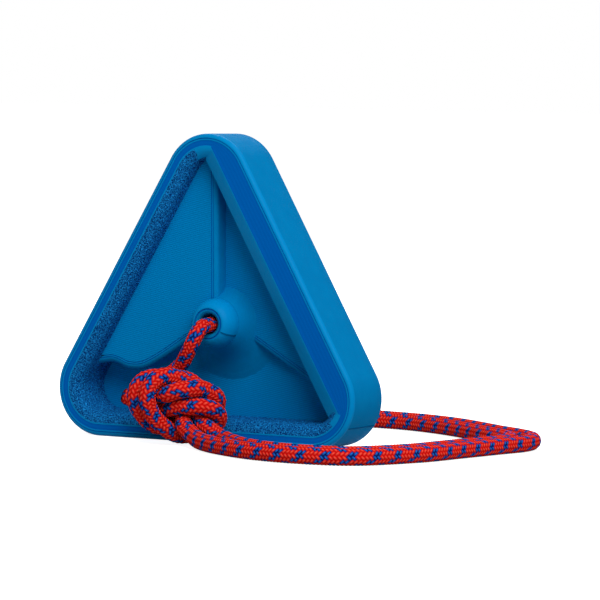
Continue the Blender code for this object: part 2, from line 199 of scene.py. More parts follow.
def settle(path, free, need):
    """Pushes strands that lie too close apart, keeping their lengths, as a knot does when it is drawn up.

    The drawn shape is held as the viewer sees it, firmly and then loosely, so that strands give way in depth.
    """
    drawn = path
    path = path.copy()
    length = np.linalg.norm(np.diff(path, axis=0), axis=1)
    order = np.arange(len(path))
    apart = np.abs(order[:, None] - order) > SAME_STRAND
    may = free[:, None].astype(float)
    viewer = np.array((math.sin(KNOT_TURN), -math.cos(KNOT_TURN), 0.0))
    for count in range(ROUNDS):
        gap = path[:, None] - path
        far = np.sqrt((gap**2).sum(-1)) + 1e-9
        close = np.where(apart, np.clip(need - far, 0, None), 0)
        share = np.sqrt(np.maximum((close > 0).sum(1), 1))[:, None]
        path += may * PUSH * (gap * (close / far)[..., None]).sum(1) / share
        firm = count < ROUNDS - LOOSE_ROUNDS
        ease = EASE if firm else LOOSE_EASE
        path[1:-1] += may[1:-1] * ease * ((path[:-2] + path[2:]) / 2 - path[1:-1])
        back = drawn - path
        path += may * (HOLD if firm else LOOSE_HOLD) * (back - viewer * (back @ viewer)[:, None])
        for _ in range(3):
            run = np.diff(path, axis=0)
            now = np.linalg.norm(run, axis=1)
            pull = run * (KEEP * (now - length) / now)[:, None]
            path[:-1] += may[:-1] * pull
            path[1:] -= may[1:] * pull
        path[:, 2] = np.where(free, np.maximum(path[:, 2], RADIUS), path[:, 2])
        low = free & (path[:, 2] < FRONT_BELOW) & (path[:, 1] < FRONT_WITHIN)
        path[:, 1] = np.where(low, np.minimum(path[:, 1], -RADIUS - FRONT_GAP), path[:, 1])
    return path


stretches = [
    np.array((NOSE[0], DEPTH + PULL + SEAT_GAP, CORD_Z)) + np.array(STOPPER, float),
    np.array([(NOSE[0], y, CORD_Z) for y in IN_BORE]),
    at_knot(FRONT + STANDING),
    on_table(INNER + BIGHT + OUTER),
    at_knot(TAIL),
]
ROUTE_STEP = CORD / 2
route = smooth_curve(np.vstack(stretches), ROUTE_STEP)
# Both knots may move as they settle: the points this near the front knot's middle, and those behind the back.
KNOT_MIDDLE = (*KNOT_FOOT, 17.0)
KNOT_REACH = 40.0
KNOT_TOP = 37.0
OPEN_SIDE_GAP = 2.0
REAR_GAP = 3.0
REAR_ABOVE = 20.0
near_knot = (np.linalg.norm(route - KNOT_MIDDLE, axis=1) < KNOT_REACH) & (route[:, 2] < KNOT_TOP)
behind = (route[:, 1] > DEPTH + PULL + REAR_GAP) & (route[:, 2] > REAR_ABOVE)
free = (near_knot & (route[:, 1] < -OPEN_SIDE_GAP)) | behind
SPREAD = CORD + 0.7
settled = settle(route, free, SPREAD)

# The braid: 12 yarns wind each way, one turn in 19 mm. The mesh has four points to a yarn, round and along.
CARRIERS = 12
BRAID_PITCH = 19.0
PER_YARN = 4
AROUND = CARRIERS * PER_YARN
CORD_STEP = BRAID_PITCH / AROUND
YARN_RELIEF = 0.3
YARN_POWER = 0.55
YARN_START = 0.5 / PER_YARN
centre = smooth_curve(settled, CORD_STEP)
along = np.arange(len(centre)) * CORD_STEP


def carried_frame(path):
    """Two side directions along a path, carried from point to point with no twist of their own."""
    ahead = np.gradient(path, axis=0)
    ahead /= np.linalg.norm(ahead, axis=1)[:, None]
    side = np.empty_like(path)
    now = np.cross(ahead[0], (0.0, 0.0, 1.0))
    for i, direction in enumerate(ahead):
        now = now - direction * (now @ direction)
        now /= np.linalg.norm(now)
        side[i] = now
    return side, np.cross(ahead, side)


def braid(turn, run):
    """The height, from 0 to 1, of a two-over-two braid at a place round it, in yarns, and along it, in millimetres.
    Two families of yarns wind left and right at one pitch. In each crossing the sum of the two yarn numbers says
    which lies on top. A yarn is round across and dips at both ends of its float."""
    a = turn + CARRIERS * run / BRAID_PITCH
    b = turn - CARRIERS * run / BRAID_PITCH
    i = np.floor(a)
    j = np.floor(b)
    phase = np.mod(i + j, 4)
    left_on_top = phase < 2
    across = np.where(left_on_top, a - i, b - j)
    half = (np.mod(phase, 2) + np.where(left_on_top, b - j, a - i)) / 2
    return (np.sin(math.pi * across) * np.sin(math.pi * half)) ** YARN_POWER


def grid_faces(rows, columns, offset=0):
    """Quads of a grid of points, row after row, with each row's end joined to its start."""
    r, c = np.meshgrid(np.arange(rows - 1), np.arange(columns), indexing="ij")
    after = (c + 1) % columns
    quads = np.stack([r * columns + c, r * columns + after, (r + 1) * columns + after, (r + 1) * columns + c], -1)
    return quads.reshape(-1, 4) + offset


def make_piece(name, points, faces, attributes=(), chart=None):
    """A mesh from whole arrays, with named numbers on its points and a chart on its face corners."""
    mesh = bpy.data.meshes.new(name)
    mesh.from_pydata(to_world(points), [], faces)
    for label, values in attributes:
        mesh.attributes.new(label, "FLOAT", "POINT").data.foreach_set("value", np.asarray(values, np.float32))
    if chart is not None:
        mesh.uv_layers.new(name="braid").data.foreach_set("uv", np.asarray(chart, np.float32).ravel())
    mesh.polygons.foreach_set("use_smooth", np.full(len(mesh.polygons), True))
    obj = bpy.data.objects.new(name, mesh)
    bpy.context.scene.collection.objects.link(obj)
    return obj


side, over = carried_frame(centre)


def station(point):
    """The number of the cord's station nearest to a point of the route."""
    near = np.linalg.norm(route - point, axis=1).argmin()
    return int(round(near / (len(route) - 1) * (len(centre) - 1)))


bore_split = station(stretches[1][2])
loop_start = station(stretches[3][0])
loop_end = station(stretches[4][0])
last = len(centre) - 1

# The cord is thin where it hangs taut, and swells where it is pressed in the knot.
FRONT_COUNT = len(FRONT)
KNOT_TAPER = 60
GIRTH = [1, 0.93, 0.89, 0.9, 1.03, 1.03, 1, 1, 1.03, 1.03]
girth_at = [0, station(stretches[1][0]), station(stretches[2][0]), station(stretches[2][FRONT_COUNT + 1])]
girth_at += [station(stretches[2][FRONT_COUNT + 3]), loop_start, loop_start + KNOT_TAPER]
girth_at += [loop_end - KNOT_TAPER, loop_end, last]
girth = np.interp(np.arange(len(centre)), girth_at, GIRTH)

# A melted end: how long it is, how far it shrinks and how far its tip bulges, in steps of the mesh.
MELT_LENGTH = 1.6
MELT_SHRINK = 0.12
MELT_BULGE = 1.2


def cord_piece(name, start, end, melt_start=False, melt_end=False):
    """The braid laid on a tube round the settled path: place round it by run along it. Each end closes on a point,
    and a melted end bulges. The chart holds the place in yarns and the run in millimetres."""
    part = slice(start, end + 1)
    angle = np.linspace(0, 2 * math.pi, AROUND, endpoint=False)[None, :]
    run = along[part]
    height = braid(CARRIERS * angle / (2 * math.pi) + YARN_START, run[:, None])
    melt = np.zeros(len(run))
    for is_melted, distance in ((melt_start, run - run[0]), (melt_end, run[-1] - run)):
        if is_melted:
            melt = np.maximum(melt, np.clip(1 - distance / MELT_LENGTH, 0, 1))
    radius = RADIUS * girth[part, None] - YARN_RELIEF * (1 - height * (1 - melt[:, None]))
    radius = radius * (1 - MELT_SHRINK * melt[:, None])
    out = np.cos(angle)[..., None] * side[part][:, None] + np.sin(angle)[..., None] * over[part][:, None]
    points = (centre[part][:, None] + radius[..., None] * out).reshape(-1, 3)
    rows = len(run)
    faces = grid_faces(rows, AROUND).tolist()
    melt = np.repeat(melt, AROUND)
    r, c = np.divmod(np.arange((rows - 1) * AROUND), AROUND)
    chart = [np.stack([c[:, None] + (0, 1, 1, 0), run[r[:, None] + (0, 0, 1, 1)]], -1).reshape(-1, 2)]
    for is_melted, at, step in ((melt_start, 0, 1), (melt_end, rows - 1, -1)):
        bulge = MELT_BULGE if is_melted else 0.0
        tip = centre[part][at] + (centre[part][at] - centre[part][at + step]) * bulge
        column = np.arange(AROUND)
        ring = at * AROUND + column
        faces += np.c_[np.roll(ring, -step), ring, np.full(AROUND, len(points))].tolist()
        chart.append(np.stack([column[:, None] + (step, 0, 0), np.full((AROUND, 3), run[at])], -1).reshape(-1, 2))
        points = np.vstack([points, tip])
        melt = np.r_[melt, float(is_melted)]
    chart = np.vstack(chart) * (1 / PER_YARN, 1) + (YARN_START, 0)
    return make_piece(name, points, faces, (("melt", melt),), chart)


# Nylon cord sheath, braided from dyed yarns: matt stitches, each yarn's red or blue painted darker in the seams as
# shade and brighter on the crests as a highlight. The pattern is the braid() above, drawn finer than the mesh, with
# crests of its own power and height.
STITCH_POWER = 1.5
STITCH_HEIGHT = 0.26
cord_material, tree = new_material("nylon_sheath_painted_highlight_and_shade")
chart = add(tree, "SeparateXYZ", {"Vector": add(tree, "UVMap", uv_map="braid").outputs["UV"]})
turn, run = chart.outputs["X"], chart.outputs["Y"]
lean = CARRIERS / BRAID_PITCH
a = add(tree, "Math", {0: run, 1: lean, 2: turn}, operation="MULTIPLY_ADD").outputs[0]
b = add(tree, "Math", {0: run, 1: -lean, 2: turn}, operation="MULTIPLY_ADD").outputs[0]
i = add(tree, "Math", {0: a}, operation="FLOOR").outputs[0]
j = add(tree, "Math", {0: b}, operation="FLOOR").outputs[0]
in_a = add(tree, "Math", {0: a, 1: i}, operation="SUBTRACT").outputs[0]
in_b = add(tree, "Math", {0: b, 1: j}, operation="SUBTRACT").outputs[0]
crossing = add(tree, "Math", {0: i, 1: j}, operation="ADD").outputs[0]
phase = add(tree, "Math", {0: crossing, 1: 4.0, 2: 0.0}, operation="WRAP").outputs[0]
second = add(tree, "Math", {0: crossing, 1: 2.0, 2: 0.0}, operation="WRAP").outputs[0]
left_on_top = add(tree, "Math", {0: phase, 1: 1.5}, operation="LESS_THAN").outputs[0]
across = add(tree, "Mix", {0: left_on_top, 2: in_b, 3: in_a}).outputs[0]
lengthwise = add(tree, "Mix", {0: left_on_top, 2: in_a, 3: in_b}).outputs[0]
yarn = add(tree, "Mix", {0: left_on_top, 2: j, 3: i}).outputs[0]
half = add(tree, "Math", {0: lengthwise, 1: second}, operation="ADD").outputs[0]
round_across = add(tree, "Math", {0: across, 1: math.pi}, operation="MULTIPLY").outputs[0]
round_along = add(tree, "Math", {0: half, 1: math.pi / 2}, operation="MULTIPLY").outputs[0]
sine_across = add(tree, "Math", {0: round_across}, operation="SINE").outputs[0]
sine_along = add(tree, "Math", {0: round_along}, operation="SINE").outputs[0]
dome = add(tree, "Math", {0: sine_across, 1: sine_along}, operation="MULTIPLY").outputs[0]
stitch = add(tree, "Math", {0: dome, 1: STITCH_POWER}, operation="POWER").outputs[0]
# Two yarns in six are blue, each way.
in_six = add(tree, "Math", {0: yarn, 1: 6.0, 2: 0.0}, operation="WRAP").outputs[0]
dyed = add(tree, "Math", {0: in_six, 1: 1.5}, operation="LESS_THAN").outputs[0]
melted = add(tree, "Attribute", attribute_name="melt").outputs["Fac"]
place = add(tree, "TexCoord").outputs["Object"]
# Filaments of about 0.05 mm are too fine to show, so their streaks are drawn 0.5 mm wide.
streak = add(tree, "TexNoise", {"Vector": place, "Scale": 1 / (0.5 * MM), "Detail": 2.0}).outputs["Fac"]
uneven = add(tree, "MapRange", {"Value": streak, "From Min": 0.3, "From Max": 0.7, "To Min": 0.75, "To Max": 1.0})
crest = add(tree, "Math", {0: stitch, 1: uneven.outputs["Result"]}, operation="MULTIPLY").outputs[0]
# From seam colour to crest colour: painted shade in the seams and a painted highlight on the crests, over the yarns'
# dye.
red = add(tree, "MixRGB", {"Fac": crest, "Color1": linear("#C40002"), "Color2": linear("#FF5744")})
blue = add(tree, "MixRGB", {"Fac": crest, "Color1": linear("#021052"), "Color2": linear("#2874DC")})
dye = add(tree, "MixRGB", {"Fac": dyed, "Color1": red.outputs["Color"], "Color2": blue.outputs["Color"]})
ends = add(tree, "MixRGB", {"Fac": melted, "Color1": dye.outputs["Color"], "Color2": linear("#1A0A0C")})
ripple = add(tree, "Bump", {"Height": crest, "Distance": STITCH_HEIGHT * MM, "Strength": 1.0})
sheath = add(
    tree,
    "BsdfPrincipled",
    {
        "Base Color": ends.outputs["Color"],
        "Roughness": 0.5,
        "Specular IOR Level": 0.0,
        "Normal": ripple.outputs["Normal"],
    },
)
add(tree, "OutputMaterial", {"Surface": sheath.outputs["BSDF"]})


# The path read along a stretch of cord has one in so many of the mesh's stations.
PATH_EVERY = 7


def lay_cord(name, start, end, nodes, exit_at, far_end, backwards=False, **melting):
    """Makes one stretch of the cord, hangs it on the cord's body and hides the model's parts that it stands for."""
    piece = cord_piece(name, start, end, **melting)
    piece.data.materials.append(cord_material)
    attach(piece, "cord")
    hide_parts(*nodes)
    path = to_world(centre[start : end + 1])[:: -1 if backwards else 1]
    path = np.vstack([path[:-1:PATH_EVERY], path[-1:]])


rear_mouth = (NOSE[0], DEPTH, CORD_Z)
front_mouth = (NOSE[0], 0.0, CORD_Z)
lay_cord("cord_rear", 0, bore_split, ["stopper_knot", "cord_bore_run"], rear_mouth, "bare", True, melt_start=True)
lay_cord("cord_front", bore_split, loop_start, ["cord_front_run", "eight_knot_standing_pass"], front_mouth, "knot")
loop_nodes = ["loop_strand_inner", "loop_bight", "loop_strand_outer"]
lay_cord("cord_loop", loop_start, loop_end, loop_nodes, centre[loop_start], "knot")
lay_cord("cord_tail", loop_end, last, ["eight_knot_tail_pass"], centre[loop_end], "bare", melt_end=True)

# The block, as rings of points that all have the same count: three corner arcs and three sides. Then the step down
# the lip, the eased back edge, the depths of grooves and of the sunken band, and the power of the right lip's slope.
PER_ARC = 64
PER_SIDE = 210
LIP_STEP = 0.5
BACK_EDGE = 0.5
GROOVE = 0.25
SUNKEN = 0.1
LIP_POWER = 0.85
WALL, BAND, FUZZY, HATCH, BEAD, SEAM = range(6)
SPLIT = math.acos((CORNER - WIDE_RIM) / (CORNER - RIM))


def ring(inset, right_inset):
    """The rounded triangle moved inwards, its right side cut straight at its own inset, as (x, z), anticlockwise.
    The right side's points begin at the angle where the lip's edge is cut, so that the rows keep in line."""
    radius = CORNER - inset
    cut = math.acos(min((CORNER - right_inset) / radius, 1.0))
    bend = max(cut, SPLIT)

    def arc(middle, start, end):
        """A circle's arc at even angles."""
        angle = np.linspace(start, end, PER_ARC + 1)
        return middle + radius * np.c_[np.cos(angle), np.sin(angle)]

    low, high = 13 * math.pi / 6, math.pi / 6
    arcs = [arc(APEX, high + bend, 5 * math.pi / 6), arc(LEFT, 5 * math.pi / 6, 1.5 * math.pi)]
    arcs.append(arc(RIGHT, 1.5 * math.pi, low - bend))
    share = np.linspace(0, 1, PER_SIDE + 2)[1:-1]
    sides = [a[-1] + (b[0] - a[-1]) * share[:, None] for a, b in zip(arcs, arcs[1:])]
    right = np.vstack([arc(RIGHT, low - bend, low - cut), arc(APEX, high + cut, high + bend)])
    run = np.r_[0, np.cumsum(np.linalg.norm(np.diff(right, axis=0), axis=1))]
    sides.append(np.column_stack([np.interp(share * run[-1], run, right[:, k]) for k in range(2)]))
    return np.vstack([arcs[0], sides[0], arcs[1], sides[1], arcs[2], sides[2]])


def right_lip(y):
    """The right side's lip slopes in, almost flat, and ends on a crisp edge: a power of the depth, then straight."""
    return WIDE_RIM + WIDE_LIP * min(y / WIDE_DEPTH, 1.0) ** LIP_POWER


def shell_rows():
    """Rows (inset, right inset, y, material) from the back edge over the outer wall, the rim and the lip to the
    floor. Roundings are quarter circles, and grooves and bands are steps down and up."""
    eased = 0.3 * BACK_EDGE
    rows = [(BACK_EDGE, BACK_EDGE, DEPTH, WALL), (eased, eased, DEPTH - eased, WALL)]
    rows += [(0.0, 0.0, y, WALL) for y in (DEPTH - BACK_EDGE, 18.0, 12.0, 6.0)]
    # The rounded front edge, past its first row, takes the bead plastic, whose brighter blue is a painted highlight.
    for t in np.linspace(0, math.pi / 2, 8):
        inset = FRONT_ROUND * (1 - math.cos(t))
        rows.append((inset, inset, FRONT_ROUND * (1 - math.sin(t)), BEAD if t else WALL))
    # A fine groove and a bead, the sunken band of the infill, and another bead before the lip. The groove takes the
    # band's darker blue, painted shade, and the beads the bead plastic's brighter blue, a painted highlight.
    rows += [(i, i, y, BAND) for i, y in ((1.73, GROOVE), (2.03, GROOVE), (2.07, 0.0))]
    rows += [(i, i, 0.0, BEAD) for i in (2.13, 2.6)]
    rows += [(i, j, SUNKEN, BAND) for i, j in ((2.66, 2.66), (2.78, 2.78), (4.75, 10.1), (4.87, 10.2))]
    rows += [(i, j, 0.0, BEAD) for i, j in ((4.93, 10.26), (5.3, 10.7), (5.45, 10.85))]
    for t in np.linspace(0, math.pi / 2, 16):
        y = LIP * (1 - math.cos(t))
        rows.append((RIM + LIP * math.sin(t), right_lip(y), y, FUZZY))
    for y in np.arange(LIP + LIP_STEP, FLOOR_AT, LIP_STEP):
        rows.append((RIM + LIP, right_lip(y), y, FUZZY))
    return rows + [(RIM + LIP, WIDE_RIM + WIDE_LIP, FLOOR_AT, FUZZY)]


LATTICE = 64


def value_noise(points, grain, seed):
    """Smooth random values from 0 to 1 on a lattice of that grain in millimetres, eased between its points."""
    lattice = np.random.default_rng(seed).random((LATTICE, LATTICE, LATTICE))
    at = np.asarray(points) / grain
    low = np.floor(at).astype(int)
    f = at - low
    f = f * f * (3 - 2 * f)
    total = np.zeros(at.shape[:-1])
    for corner in np.ndindex(2, 2, 2):
        weight = np.prod(np.where(np.array(corner) == 1, f, 1 - f), axis=-1)
        i, j, k = np.moveaxis((low + corner) % LATTICE, -1, 0)
        total += weight * lattice[i, j, k]
    return total


patches = []


def add_patch(points, materials, inset=None, lid=None):
    """Keeps a closed grid of points, (rows, columns, 3), with a material for each face. A lid closes the last row,
    and the first one underneath, with one flat face each."""
    rows, columns = points.shape[:2]
    start = sum(len(p[0]) for p in patches)
    faces = grid_faces(rows, columns, start).tolist()
    kinds = np.broadcast_to(materials, (rows - 1, columns)).ravel().tolist()
    flat = points.reshape(-1, 3)
    inset = np.zeros(len(flat)) if inset is None else inset.ravel() * MM
    if lid is not None:
        faces.append((start + (rows - 1) * columns + np.arange(columns)).tolist())
        faces.append((start + np.arange(columns)[::-1]).tolist())
        kinds += [lid, lid]
    patches.append((flat, faces, kinds, inset))


# The shell: (inset, depth) profile by the way round. The left and bottom lips have a rough skin, which is pushed
# out and in. Two short pieces of the lip, beside the ends of the right side, stay smooth down to these depths, over
# these shares of the corner's arc.
SMOOTH_APEX = 2.5
SMOOTH_FOOT = 0.4
APEX_SHARE = 0.45
FOOT_SHARE = 1 / 3
# Below the smooth piece at the apex the skin stands back by a ledge, which fades out between two depths.
SMOOTH_LEDGE = 0.5
LEDGE_FADES = (6.0, 12.0)
# The skin's push, from two grains of noise, in millimetres. The place of the noise is moved by a plain amount.
ROUGHNESS = 0.3
COARSE_GRAIN = 0.7
FINE_GRAIN = 0.45
FINE_SHARE = 0.6
NOISE_AT = 200.0
rows = shell_rows()
shell = np.stack([np.insert(ring(a, b), 1, y, axis=1) for a, b, y, _ in rows])
columns = shell.shape[1]
around = np.arange(columns)
depth = shell[:, :, 1]
row_kind = np.array([kind for *_, kind in rows])[:, None]
right_start = 2 * (PER_ARC + 1 + PER_SIDE) + PER_ARC + 1
on_right = around >= right_start
by_apex = around < APEX_SHARE * PER_ARC
by_foot = (around >= right_start - int(FOOT_SHARE * PER_ARC)) & ~on_right
is_smooth = on_right | (by_apex & (depth < SMOOTH_APEX)) | (by_foot & (depth < SMOOTH_FOOT))
fuzz = ((row_kind == FUZZY) & ~is_smooth).astype(float)
# The last row stays in place, because the floor joins it.
fuzz[-1] = 0.0
across = np.roll(shell, -1, axis=1) - np.roll(shell, 1, axis=1)
normal = np.cross(across, np.gradient(shell, axis=0))
normal /= np.linalg.norm(normal, axis=-1, keepdims=True) + 1e-12
coarse = value_noise(shell + NOISE_AT, COARSE_GRAIN, 3)
fine = value_noise(shell + NOISE_AT, FINE_GRAIN, 4)
grain = coarse + FINE_SHARE * fine - (1 + FINE_SHARE) / 2
ledge = by_apex * fuzz * np.clip((LEDGE_FADES[1] - depth) / (LEDGE_FADES[1] - LEDGE_FADES[0]), 0, 1)
shell = shell + normal * (ROUGHNESS * fuzz * grain - SMOOTH_LEDGE * ledge)[..., None]
left_inset = np.array([[left] for left, *_ in rows])
right_inset = np.array([[right] for _, right, *_ in rows])
# On the right side the inner bead looks like the band, in its darker blue that is painted shade, and the lip is
# smooth.
# Smooth pieces of the lip take the bead plastic, whose brighter blue is a painted highlight.
INNER_FROM = 4.0
inner_bead = (row_kind == BEAD) & (left_inset > INNER_FROM)
kinds = np.where(inner_bead & on_right, BAND, row_kind)
kinds = np.where((row_kind == FUZZY) & is_smooth, BEAD, kinds)
add_patch(shell, kinds[1:], inset=np.where(on_right, right_inset, left_inset))

# The seam where each printed layer starts: a thin bead up the outer wall, sunk at both ends, painted darker as shade
# along it.
WALL_SEAM = math.radians(-32.3)
SEAM_BEAD = 0.32
SEAM_SINKS = 0.6
outward = np.array((math.cos(WALL_SEAM), math.sin(WALL_SEAM)))
sideways = np.array((-outward[1], outward[0]))
angle = np.linspace(0, 2 * math.pi, 8, endpoint=False)[:, None]
bead = SEAM_BEAD * (np.cos(angle) * outward + np.sin(angle) * sideways)
seam_rows = [(24.8, SEAM_SINKS), (24.2, 0.0), (2.4, 0.0), (1.8, SEAM_SINKS)]
seam = [np.insert(RIGHT + (CORNER - sunk) * outward + bead, 1, y, axis=1) for y, sunk in seam_rows]
add_patch(np.stack(seam), SEAM, lid=SEAM)

# The floor, from the wall to under the nose, then inside the plastic to the rear mouth, and the back to its edge.
MOUTH_ROUND = 2.0
REAR_MOUTH = BORE + MOUTH_ROUND
UNDER_NOSE = 19.0


def nose_circle(outline, radius, y):
    """A circle round the nose's axis, each point in line with a point of an outline."""
    away = outline[:, (0, 2)] - NOSE
    away *= radius / np.linalg.norm(away, axis=1)[:, None]
    return np.insert(NOSE + away, 1, y, axis=1)


base = np.insert(ring(RIM + LIP, WIDE_RIM + WIDE_LIP), 1, FLOOR_AT, axis=1)
edge = np.insert(ring(BACK_EDGE, BACK_EDGE), 1, DEPTH, axis=1)
under_nose = nose_circle(base, UNDER_NOSE, FLOOR_AT)
add_patch(np.stack([base, under_nose, nose_circle(edge, REAR_MOUTH, DEPTH), edge]), HATCH)

# The nose: a profile of (radius, depth) turned about the bore's axis. It runs from the foot, which widens by a line
# and a power, over a fine crease to the bullet, a quarter of an ellipse, then by a fine ring to the rounded mouth,
# through the bore and back to the foot inside the plastic.
SHOULDER = 10.2
CREST = 6.1
BULLET = 7.5
SHOULDER_AT = 7.6
FOOT_FROM = 8.0
FOOT_NARROW = 10.3
FOOT_LINE, FOOT_FLARE, FOOT_POWER = 5.6, 7.8, 3.85
FRONT_MOUTH = 5.8
FRONT_MOUTH_ROUND = FRONT_MOUTH - BORE
NOSE_AROUND = 160
profile = []
for s in np.linspace(1.02, 0.0, 28):
    widens = FOOT_LINE * s + FOOT_FLARE * s**FOOT_POWER
    profile.append((FOOT_NARROW + widens, FOOT_FROM + (FLOOR_AT - FOOT_FROM) * s))
profile += [(10.0, 7.9), (10.0, 7.75), (SHOULDER, SHOULDER_AT)]
for t in np.linspace(1.45, 0.12, 22):
    profile.append((CREST + (SHOULDER - CREST) * math.sin(t), BULLET * (1 - math.cos(t))))
ring_from = len(profile)
profile += [(6.35, 0.12), (6.2, 0.45), (5.9, 0.45), (FRONT_MOUTH, 0.0)]
ring_to = len(profile)
for t in np.linspace(0.3, math.pi / 2, 9):
    profile.append((FRONT_MOUTH - FRONT_MOUTH_ROUND * math.sin(t), FRONT_MOUTH_ROUND * (1 - math.cos(t))))
profile += [(BORE, 6.0), (BORE, 14.0)]
for t in np.linspace(0, math.pi / 2, 8):
    profile.append((REAR_MOUTH - MOUTH_ROUND * math.cos(t), DEPTH - MOUTH_ROUND + MOUTH_ROUND * math.sin(t)))
profile = np.array(profile + profile[:1])

# The nose's own layer seam: a low ridge along the bullet.
NOSE_SEAM = math.radians(-28)
RIDGE = 0.3
angle = np.linspace(0, 2 * math.pi, NOSE_AROUND, endpoint=False)
off_seam = np.angle(np.exp(1j * (angle - NOSE_SEAM)))[None, :] * profile[:, :1]
nose_row = np.arange(len(profile))[:, None]
on_bullet = (profile[:, 1:] < SHOULDER_AT) & (nose_row < ring_from)
radius = profile[:, :1] + RIDGE * np.exp(-((off_seam / RIDGE) ** 2)) * on_bullet
nose_y = np.repeat(profile[:, 1:], NOSE_AROUND, axis=1)
nose = np.stack([NOSE[0] + radius * np.cos(angle), nose_y, NOSE[1] + radius * np.sin(angle)], -1)
# The bullet takes the bead plastic, whose brighter blue is a painted highlight; the fine ring takes the band's darker
# blue and the seam the scar plastic's, both painted shade.
in_ring = (nose_row >= ring_from) & (nose_row < ring_to - 1)
nose_kinds = np.where(in_ring[:-1], BAND, np.where(on_bullet[1:], BEAD, WALL))
on_seam = (np.abs(off_seam) < RIDGE) & on_bullet
add_patch(nose, np.where(on_seam[1:], SEAM, nose_kinds))

# The two raised grounds: an outline, a rounded edge with two fine grooves beside it, and a flat top.
WAVE = [(-8.5, 9.1), (-6.2, 9.5), (-3.1, 10.1), (0.9, 10.7), (4.2, 10.0), (8.3, 8.5), (13.2, 8.2), (18.0, 9.3)]
WAVE += [(26.2, 13.6), (35.9, 19.9)]
# The edge fades out inside the nose, from this radius and over this length.
FADE_FROM = 6.5
FADE_OVER = 2.0
# Insets of the ground between the two grooves and of the hatching, and how far each ground goes under the floor.
BETWEEN = (2.2, 2.55)
HATCH_FROM = 2.96
SINKS = 0.5
# Steps along the wave, along another edge that shows and along one that doesn't.
WAVE_STEP = 0.5
SHOWN_STEP = 0.6
HIDDEN_STEP = 0.8


def straight(points, step):
    """Points at even steps along straight lines, without the last."""
    spans = []
    for a, b in zip(points, points[1:]):
        count = max(int(np.linalg.norm(np.subtract(b, a)) / step), 1)
        spans.append(np.asarray(a) + np.subtract(b, a) * np.linspace(0, 1, count, endpoint=False)[:, None])
    return np.vstack(spans)


def raised_ground(spans, top):
    """A ground raised from the floor: (points, shown) spans of its outline, anticlockwise. A span that shows has a
    rounded edge with two fine grooves beside it. The edge fades out inside the nose."""
    outline = np.vstack([points for points, _ in spans])
    shown = np.concatenate([np.full(len(points), float(shows)) for points, shows in spans])
    before = np.where((np.roll(shown, 1) < shown)[:, None], outline, np.roll(outline, 1, axis=0))
    after = np.where((np.roll(shown, -1) < shown)[:, None], outline, np.roll(outline, -1, axis=0))
    ahead = after - before
    ahead /= np.linalg.norm(ahead, axis=1)[:, None] + 1e-12
    from_nose = np.linalg.norm(outline - NOSE, axis=1)
    edged = shown * np.clip((from_nose - FADE_FROM) / FADE_OVER, 0, 1)
    inward = np.c_[-ahead[:, 1], ahead[:, 0]] * edged[:, None]
    rows = [(0.0, FLOOR_AT + SINKS - top, WALL)]
    for t in np.linspace(0, math.pi / 2, 8):
        rows.append((STEP_ROUND * (1 - math.cos(t)), STEP_ROUND * (1 - math.sin(t)), WALL))
    # The grooves take the band's darker blue, painted shade, and the line between them the bead plastic's brighter
    # blue, a painted highlight.
    groove = [(0.04, GROOVE), (0.3, GROOVE), (0.34, 0.0)]
    rows += [(STEP_ROUND + i, y, BAND) for i, y in groove] + [(i, 0.0, BEAD) for i in BETWEEN]
    rows += [(BETWEEN[1] + i, y, BAND) for i, y in groove] + [(HATCH_FROM, 0.0, HATCH)]
    points = []
    for inset, y, _ in rows:
        height = top + y * (edged if inset > STEP_ROUND else 1.0)
        points.append(np.insert(outline + inward * inset, 1, height, axis=1))
    add_patch(np.stack(points), np.array([kind for *_, kind in rows[1:]])[:, None], lid=HATCH)


# The left ground: round the apex and down the left side, hidden in the rim, then the wave and the step.
UNDER_RIM = CORNER - 7.0
APEX_TURN = (103, 150)
STEP_TOP = np.array((0.45, 119.6))
LOW_LEFT_RISES = 9.0
turn_left = np.radians(np.linspace(*APEX_TURN, 40))
corner = np.c_[APEX[0] + UNDER_RIM * np.cos(turn_left), APEX[1] + UNDER_RIM * np.sin(turn_left)]
to_left = np.array((math.cos(5 * math.pi / 6), 0.5))
low_left = LEFT + UNDER_RIM * to_left + LOW_LEFT_RISES * (APEX - LEFT) / SPACING
wave = np.array([LEFT + point for point in WAVE])
wave = smooth_curve(np.insert(wave, 1, 0.0, axis=1), WAVE_STEP)[:, (0, 2)]
to_nose = straight([wave[-1], NOSE, STEP_TOP], SHOWN_STEP)
left_spans = [(corner[:-1], False), (straight([corner[-1], low_left, wave[0]], HIDDEN_STEP), False)]
left_spans += [(np.vstack([wave[:-1], to_nose, STEP_TOP]), True)]
raised_ground(left_spans, LEFT_AT)


def along_right(inset, share):
    """A point beside the right side, at an inset and a share of the way down from the apex."""
    return APEX + (RIGHT - APEX) * share + (CORNER - inset) * np.array((math.cos(math.pi / 6), 0.5))


# The right ground: from the nose to the right along a straight edge, then hidden in the rim and under the left one.
EDGE_START = (14.4, 41.7)
EDGE_SLOPE = (26.05 - 41.7) / 27.5
FAR_X = 57.2
IN_RIM = 10.6
far = np.array((FAR_X, EDGE_START[1] + (FAR_X - EDGE_START[0]) * EDGE_SLOPE))
top_point = (APEX[0] - 6.0, APEX[1] + UNDER_RIM - 1.2)
back_point = NOSE + (-14.0, 8.0)
hidden_edge = [far, along_right(IN_RIM, 0.92), along_right(IN_RIM, 0.04), top_point, back_point, NOSE]
shown_edge = np.vstack([straight([NOSE, far], SHOWN_STEP), far])
raised_ground([(shown_edge, True), (straight(hidden_edge, HIDDEN_STEP)[1:], False)], RIGHT_AT)

